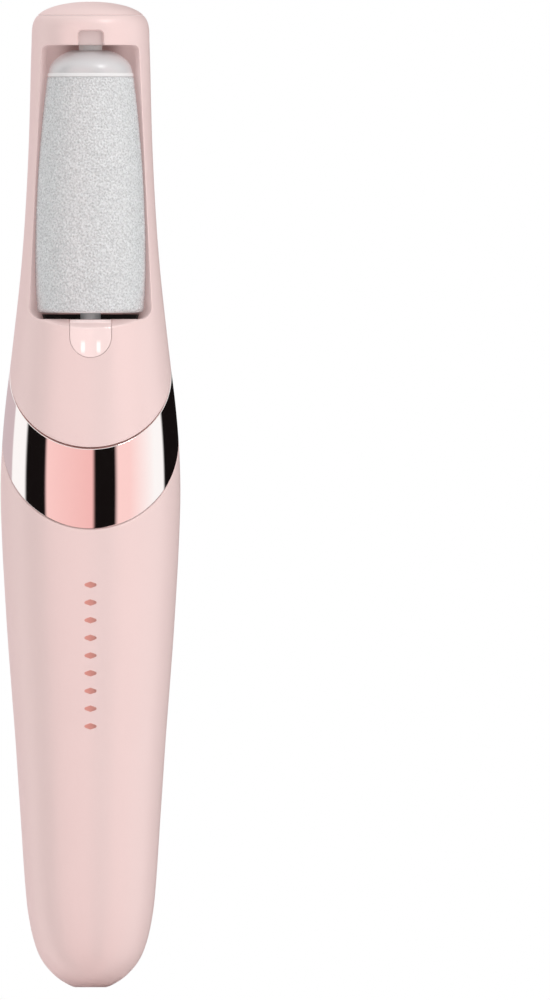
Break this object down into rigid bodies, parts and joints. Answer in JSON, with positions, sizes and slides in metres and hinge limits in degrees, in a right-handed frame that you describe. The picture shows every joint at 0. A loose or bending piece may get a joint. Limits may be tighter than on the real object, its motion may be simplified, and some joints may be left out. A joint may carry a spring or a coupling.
{
  "type": "electric callus remover",
  "caption": "Cordless callus remover: slim tapered wand with a tilted mirror band, a work light and a spring-pin abrasive roller spinning in an open bay at the tip.",
  "frame": {"origin": "centre of the charging end, on the handle's axis", "axes": "+Z along the handle towards the roller end, -Y towards the side the roller faces, +X to the user's right when looking at the roller"},
  "size_m": [0.0356, 0.0356, 0.195],
  "materials": {
    "shell": "satin",
    "rose_foil": "polished",
    "rose_mirror": "polished",
    "metal_bush": "plain",
    "lens": "frosted",
    "board": "solder mask",
    "led": "clear yellow",
    "abrasive": "coarse mineral grit",
    "grey_plastic": "satin",
    "white_plastic": "satin",
    "steel": "plain",
    "nickel": "nickel",
    "gear_plastic": "moulded",
    "brass": "turned",
    "rubber_black": "matt",
    "dark_plastic": "moulded",
    "frame_plastic": "moulded",
    "cell_wrap": "shrink sleeve",
    "switch_metal": "tinned",
    "clear_plastic": "frosted",
    "lead_red": "insulated",
    "lead_black": "insulated",
    "lead_white": "insulated"
  },
  "bodies": {
    "wand": {"grip_shell": "shell", "foil_inlay": "rose_foil", "trim_band": "rose_mirror", "head_shell": "shell", "head_cap": "shell", "tip_bush": "metal_bush", "light_lens": "lens", "light_board": "board", "light_led": "led", "output_bushes": "brass", "dust_seal": "rubber_black", "gearbox_base": "dark_plastic", "gearbox_cover": "dark_plastic", "gearbox_screws": "steel", "motor_can": "steel", "motor_endcap": "dark_plastic", "motor_terminals": "nickel", "motor_screws": "steel", "motor_damper": "rubber_black", "chassis": "frame_plastic", "cell_strap": "frame_plastic", "battery_cell": "cell_wrap", "cell_tabs": "nickel", "main_board": "board", "board_components": "dark_plastic", "switch_body": "switch_metal", "indicator_pipe": "clear_plastic", "charge_jack": "dark_plastic", "jack_contact": "brass", "battery_leads": "lead_red", "motor_leads": "lead_black", "light_leads": "lead_white", "chassis_screws": "steel"},
    "roller": {"roller_sleeve": "abrasive", "roller_core": "grey_plastic", "roller_cap": "grey_plastic", "roller_spring": "steel", "drive_socket": "grey_plastic", "output_shaft": "steel", "output_gear": "gear_plastic"},
    "tip_pin": {"roller_pin": "white_plastic"},
    "rotor": {"motor_pinion": "brass", "motor_shaft": "steel"},
    "knob": {"switch_knob": "rose_mirror", "switch_lever": "dark_plastic"}
  },
  "joints": [
    {"name": "roller_spin", "type": "hinge", "parent": "wand", "child": "roller", "pos_m": [0, -0.0045, 0.157], "axis": [0, 0, 1], "continuous": true},
    {"name": "motor_spin", "type": "hinge", "parent": "wand", "child": "rotor", "pos_m": [0, 0.0039, 0.1], "axis": [0, 0, 1], "continuous": true},
    {"name": "tip_pin_slide", "type": "slide", "parent": "roller", "child": "tip_pin", "axis": [0, 0, 1], "range_m": [-0.0026, 0], "stiffness_N_per_m": 300, "springref_m": 0.004, "deforming": ["roller_spring"]},
    {"name": "switch_slide", "type": "slide", "parent": "wand", "child": "knob", "axis": [0, 0.0744, 0.9972], "range_m": [0, 0.006]}
  ],
  "couplings": [
    {"joint": "motor_spin", "follows": "roller_spin", "ratio": -2.5}
  ]
}
